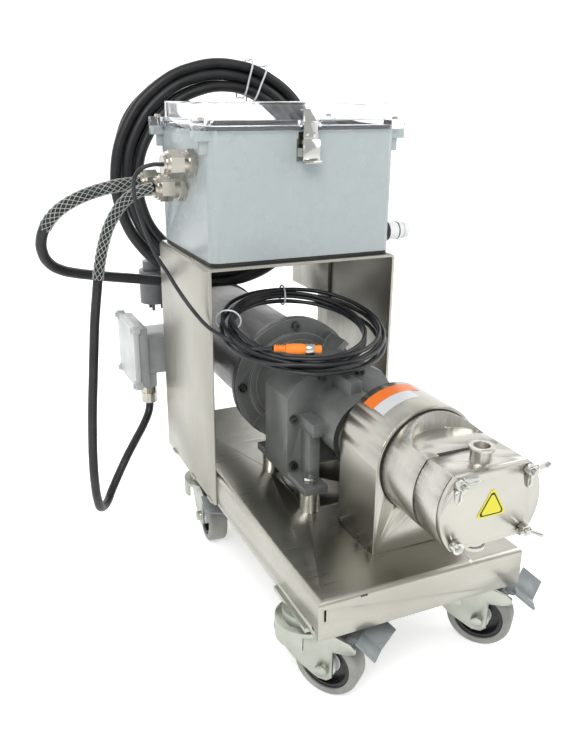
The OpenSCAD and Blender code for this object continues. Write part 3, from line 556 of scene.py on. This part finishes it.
def finish_nodes():
    rounded("tray", 1.2, STAINLESS_X, 2)
    rounded("portal", 0.5, STAINLESS_Z, 2)
    rounded("gear_case", 1.3, GEAR_PAINT, edge=EDGE_WEAR_AND_HIGHLIGHT)
    rounded("adapter", 0.9, GEAR_PAINT, edge=EDGE_WEAR_AND_HIGHLIGHT)
    rounded("motor", 1.2, MOTOR_PAINT_AND_SHADE)
    rounded("fan_cowl", 1.0, MOTOR_PAINT_AND_SHADE, 2)
    rounded("tbox", 2.0, CAST_BOX)
    rounded("tbox_lid", 1.5, CAST_LID)
    rounded("guard", 0.9, GUARD_STEEL, 2)
    rounded("pump_gearcase", 0.5, PUMP_STEEL, 2)
    rounded("rotor_housing", 0.4, PUMP_STEEL, 2)
    rounded("pump_cover", 0.8, COVER_STEEL, 3)
    rounded("enclosure", 0.8, ENCLOSURE, 2)
    rounded("lid", 1.2, CLEAR, 3)
    rounded("latch_strap", 0.3, BRIGHT, 2)
    for corner in ("fl", "fr", "rl", "rr"):
        rounded("fork_" + corner, 0.8, ZINC, 2)
        rounded("pedal_" + corner, 0.8, PEDAL, 2)
    for place in ("tl", "tr", "bl", "br"):
        rounded("wing_" + place, 0.9, BRIGHT, 3)


# ------------------------------------------------------------------ fine detail
def bent_patch(name, radius, from_deg, to_deg, y0, y1, thick, mat, centre=PUMP_AXIS, body="base", steps=24):
    """Thin sheet bent about an axis along y; angles run from the top towards +x."""
    bm = bmesh.new()
    cx, cz = centre
    rows = []
    for k in range(steps + 1):
        a = math.radians(from_deg + (to_deg - from_deg) * k / steps)
        rows.append([bm.verts.new((cx + r * math.sin(a), y, cz + r * math.cos(a)))
                     for r, y in ((radius, y0), (radius + thick, y0), (radius + thick, y1), (radius, y1))])
    for a, b in zip(rows, rows[1:]):
        for k in range(4):
            n = (k + 1) % 4
            bm.faces.new((a[k], a[n], b[n], b[k]))
    bm.faces.new(rows[0])
    bm.faces.new(rows[-1])
    return new_piece(name, bm, mat, body)


def triangle(name, centre, size, y0, y1, mat, body):
    """Upright triangle plate with rounded corners, facing -y."""
    bm = bmesh.new()
    cx, cz = centre
    outline = []
    for corner in range(3):
        a = math.radians(90 + 120 * corner)
        tip = Vector((math.cos(a), math.sin(a))) * size * 0.82
        for k in range(5):
            b = a + math.radians(-60 + 30 * k)
            outline.append((cx + tip.x + 0.18 * size * math.cos(b), cz + tip.y + 0.18 * size * math.sin(b)))
    front = [bm.verts.new((x, y0, z)) for x, z in outline]
    back = [bm.verts.new((x, y1, z)) for x, z in outline]
    bm.faces.new(front)
    bm.faces.new(back)
    for k in range(len(front)):
        n = (k + 1) % len(front)
        bm.faces.new((front[k], front[n], back[n], back[k]))
    return new_piece(name, bm, mat, body)


def aim(bm, origin, ahead):
    """Turns a mesh built along +z towards ahead and carries it to origin."""
    turn = Vector(ahead).to_track_quat("Z", "Y").to_matrix()
    for v in bm.verts:
        v.co = turn @ v.co + Vector(origin)


def lathe_piece(name, profile, origin, ahead, mat, body="base", steps=32):
    """Turned piece from (radius, along) pairs about an axis from origin towards ahead."""
    bm = bmesh.new()
    rings = turned(bm, profile, (0, 0, 0), "Z", steps)
    if profile[0][0] > 0.1:
        cap(bm, rings[0])
    if profile[-1][0] > 0.1:
        cap(bm, rings[-1])
    aim(bm, origin, ahead)
    return new_piece(name, bm, mat, body)


def ring_piece(name, inner, outer, depth, origin, ahead, mat, body="base", steps=48):
    """Flat ring centred on origin, thickness along ahead."""
    bm = bmesh.new()
    section = [(inner, 0), (outer, 0), (outer, depth), (inner, depth), (inner, 0)]
    turned(bm, section, (0, 0, 0), "Z", steps)
    aim(bm, origin, ahead)
    bmesh.ops.remove_doubles(bm, verts=bm.verts, dist=0.0001)
    return new_piece(name, bm, mat, body)


def tie_loops():
    """Cable ties round the mains coil and twist ties round the sensor ring."""
    for n, a in enumerate((164, 156)):
        turn = math.radians(a)
        x, y, z = COIL_CENTRE
        loop = [(x + r * math.sin(turn), y + dy, z - r * math.cos(turn))
                for r, dy in ((170.5, -15), (171.5, 0), (170.5, 16), (144, 19.5), (118.5, 15), (118, 0),
                              (118.5, -15), (144, -19.5))]
        curve_piece(f"coil_tie_{n + 1}", loop, 1.3, TIE, bevel_steps=3, closed=True)
    for n, (a, size) in enumerate(((335, 15.5), (262, 14))):
        turn = math.radians(a)
        side = Vector((-math.cos(turn), -math.sin(turn) * math.cos(RING_TILT),
                       -math.sin(turn) * math.sin(RING_TILT)))
        up = Vector((0, -math.sin(RING_TILT), math.cos(RING_TILT)))
        middle = Vector(RING_CENTRE) + RING_RADIUS * side
        loop = [middle + size * math.cos(b) * side + size * 0.9 * math.sin(b) * up
                for b in (math.radians(45 * k) for k in range(8))]
        curve_piece(f"ring_tie_{n + 1}", loop, 1.1, TIE, bevel_steps=3, closed=True)


def connector_detail():
    """Ribbed strain relief, grip body, knurled nickel nut and orange tip."""
    origin, ahead = (-70, 203, 339), (0.933, -0.358, -0.035)
    profile = [(3.0, -14)]
    for k in range(5):
        rib = 2.6 * k
        profile += [(3.2, -13.6 + rib), (4.3, -13.2 + rib), (4.3, -12.0 + rib), (3.2, -11.6 + rib)]
    profile += [(5.0, 0), (5.6, 1), (5.6, 6), (6.1, 7), (6.1, 19), (5.6, 20), (5.6, 22), (4.6, 22.2),
                (4.6, 35), (4.9, 35.2), (5.0, 38), (4.6, 40.5), (3.4, 40.7), (3.4, 37), (0.05, 37)]
    body = lathe_piece("connector_body", profile, origin, ahead, ORANGE)
    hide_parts("sensor_connector")
    bm = bmesh.new()
    steps = 60
    rings = []
    for r, reached, knurl in ((4.7, 22.3, 0), (6.3, 22.3, 0), (6.8, 23, 0.35), (6.8, 31.5, 0.35),
                              (6.3, 32.3, 0), (4.7, 32.3, 0)):
        ring = []
        for k in range(steps):
            a = 2 * math.pi * k / steps
            reach = r - (knurl if k % 2 else 0)
            ring.append(bm.verts.new((reach * math.cos(a), reach * math.sin(a), reached)))
        rings.append(ring)
    for a, b in zip(rings, rings[1:] + rings[:1]):
        for k in range(steps):
            n = (k + 1) % steps
            bm.faces.new((a[k], a[n], b[n], b[k]))
    aim(bm, origin, ahead)
    nut = new_piece("connector_nut", bm, NICKEL)
    return body, nut


def pump_detail():
    bent_patch("label_orange", 62.55, -41, 15, 101, 121, 0.25, LABEL_ORANGE)
    bent_patch("label_white", 62.55, -40, 4, 81, 101, 0.25, LABEL_WHITE)
    triangle("sign_edge", COVER_MIDDLE, 17.8, -53.35, -53.02, LABEL_YELLOW, "cover")
    triangle("sign_line", COVER_MIDDLE, 15.0, -53.5, -53.3, PRINT_AND_PAINTED_SHADE, "cover")
    triangle("sign_face", COVER_MIDDLE, 12.6, -53.65, -53.45, LABEL_YELLOW, "cover")
    # painted shade: flat dark sheets in the seams between the guard, the pump gearcase and the housing, and
    # at the cover, the top flat and the boss
    ring_piece("guard_gap_painted_shade", 57.9, 59.2, 0.5, (28, 52.45, 246), (0, 1, 0), PRINT_AND_PAINTED_SHADE, steps=96)
    for n, (a, b) in enumerate(((50, 130), (230, 310))):
        bent_patch(f"housing_gap_painted_shade_{n + 1}", 57.9, a, b, -8.5, -7.6, 0.35, PRINT_AND_PAINTED_SHADE)
        bent_patch(f"cover_gap_painted_shade_{n + 1}", 57.9, a, b, -47.3, -46.8, 0.3, PRINT_AND_PAINTED_SHADE)
    bm = bmesh.new()
    add_box(bm, (-3, -7.6, 284.9), (41, -3.4, 285.25))
    new_piece("top_gap_painted_shade", bm, PRINT_AND_PAINTED_SHADE)
    ring_piece("boss_gap_painted_shade", 39.1, 45, 1.0, (3, 134, 246), (0, 1, 0), PRINT_AND_PAINTED_SHADE)


def box_detail():
    """Small hardware of the terminal box, selector, latch and enclosure lid."""
    ear = [(6.5, 0), (7, 0.8), (7, 11), (6.2, 12), (4.2, 12.2), (4.2, 14.5), (3.8, 15), (0.05, 15)]
    for n, (y, z) in enumerate(((553, 185), (653, 185), (553, 275), (653, 275))):
        lathe_piece(f"tbox_ear_{n + 1}", ear, (-155.5, y, z), (-1, 0, 0), CAST_LID, steps=24)
    # grooves of the selector drawn as flat rings of painted shade, one near-black and one mid-grey
    ring_piece("selector_groove_painted_shade_1", 11.4, 12.1, 1.0, (143.5, 324, 442), (1, 0, 0), PRINT_AND_PAINTED_SHADE, "knob")
    ring_piece("selector_groove_painted_shade_2", 10.4, 10.9, 0.8, (152, 324, 442), (1, 0, 0), SELECTOR_GROOVE_SHADE, "knob")
    # rivets on the latch plate
    rivet = [(2.2, 0), (2.0, 0.8), (1.0, 1.2), (0.05, 1.25)]
    for n, x in enumerate((-5, 5)):
        lathe_piece(f"latch_rivet_{n + 1}", rivet, (x, 291.5, 568), (0, -1, 0), BRIGHT, "latch", 20)
    # a dark sheet paints the shade inside the latch slot
    bm = bmesh.new()
    add_box(bm, (-7, 291.2, 556.2), (7, 291.45, 561.5))
    new_piece("latch_slot_painted_shade", bm, PRINT_AND_PAINTED_SHADE, "latch")
    # lid screws in the four corner lugs
    screw = [(4.2, 0), (4.2, 2.4), (3.4, 3.2), (0.05, 3.2)]
    for n, (x, y) in enumerate(((-128, 314), (128, 314), (-128, 494), (128, 494))):
        lathe_piece(f"lid_screw_{n + 1}", screw, (x, y, 583.4), (0, 0, 1), NICKEL, "lid", 24)


def caster_detail():
    """Pale hub discs beside each wheel core."""
    hub = [(4.6, 0), (11.6, 0), (12.6, 1.0), (12.6, 11), (13.8, 11.6), (13.8, 12), (4.6, 12)]
    for corner, (cx, cy, turn) in CASTERS.items():
        a = math.radians(turn)
        across = Vector((math.cos(a), math.sin(a), 0))
        wheel = Vector((cx + TRAIL * math.sin(a), cy - TRAIL * math.cos(a), WHEEL_RADIUS))
        for side in (-1, 1):
            bm = bmesh.new()
            rings = turned(bm, hub, (0, 0, 0), "Z", 40)
            cap(bm, rings[0])
            aim(bm, wheel + side * 15.3 * across, -side * across)
            new_piece(f"hub_{corner}_{'left' if side < 0 else 'right'}", bm, HUB, "wheel_" + corner)


def weld_detail():
    """Tack welds along the foot of the portal plates."""
    places = [(x, y) for x in (-129.5, 129.5) for y in (306, 380, 470)]
    for n, (x, y) in enumerate(places):
        bm = bmesh.new()
        for k in range(7):
            bead = Matrix.Translation((x, y + 2.4 * k, 101.5 + 0.3 * math.sin(2.1 * k)))
            bmesh.ops.create_icosphere(bm, subdivisions=2, radius=2.2, matrix=bead)
        new_piece(f"weld_{n + 1}", bm, WELD)


# ------------------------------------------------------------------ studio
def make_stage():
    bm = bmesh.new()
    bmesh.ops.create_grid(bm, x_segments=1, y_segments=1, size=60)
    mesh = bpy.data.meshes.new("floor")
    bm.to_mesh(mesh)
    bm.free()
    floor = bpy.data.objects.new("floor", mesh)
    bpy.context.scene.collection.objects.link(floor)
    s = Surface("pale_floor")
    s.tone(s.noise(2), (0.86, 0.865, 0.87), (0.88, 0.885, 0.89))
    s.set(Roughness=0.7, Emission_Color=(1, 1, 1, 1), Emission_Strength=0.42)
    dress(floor, s.mat)

    # a white wall far behind the floor's edge
    bm = bmesh.new()
    wall = [bm.verts.new(p) for p in ((-60, 25, -1), (60, 25, -1), (60, 25, 40), (-60, 25, 40))]
    bm.faces.new(wall)
    mesh = bpy.data.meshes.new("backdrop")
    bm.to_mesh(mesh)
    bm.free()
    backdrop = bpy.data.objects.new("backdrop", mesh)
    bpy.context.scene.collection.objects.link(backdrop)
    s = Surface("white_backdrop")
    s.tone(s.noise(0.2), (0.8, 0.8, 0.8), (0.82, 0.82, 0.82))
    s.set(Roughness=0.9, Emission_Color=(1, 1, 1, 1), Emission_Strength=0.8)
    dress(backdrop, s.mat)

    world = bpy.data.worlds.new("studio")
    bpy.context.scene.world = world
    world.use_nodes = True
    back = world.node_tree.nodes["Background"]
    back.inputs["Color"].default_value = (1.0, 1.0, 1.0, 1)
    back.inputs["Strength"].default_value = 0.72

    def softbox(name, place, target, size, power):
        data = bpy.data.lights.new(name, "AREA")
        data.shape = "RECTANGLE"
        data.size, data.size_y = size
        data.energy = power
        lamp = bpy.data.objects.new(name, data)
        lamp.location = at(*place)
        lamp.rotation_euler = (at(*target) - lamp.location).to_track_quat("-Z", "Y").to_euler()
        bpy.context.scene.collection.objects.link(lamp)

    softbox("key", (-700, -900, 1700), (0, 250, 250), (1.1, 0.9), 22)
    softbox("side", (1500, -200, 1100), (0, 250, 300), (0.9, 1.2), 9)
    softbox("back", (200, 1900, 1500), (0, 300, 350), (1.2, 0.8), 10)


bpy.context.scene.view_settings.view_transform = "Standard"
make_camera()
mains, motor, sensor = make_leads()
mains_grip = mesh_grip("mains_grip", MAINS_ROUTE, 7.5, 150)
motor_grip = mesh_grip("motor_grip", MOTOR_ROUTE, 6.25, 150)
connector, connector_nut = connector_detail()
round(measured(mains), 2)
round(measured(motor), 2)
round(measured(sensor), 2)
dress_nodes()
finish_nodes()
tie_loops()
pump_detail()
box_detail()
caster_detail()
weld_detail()
make_stage()
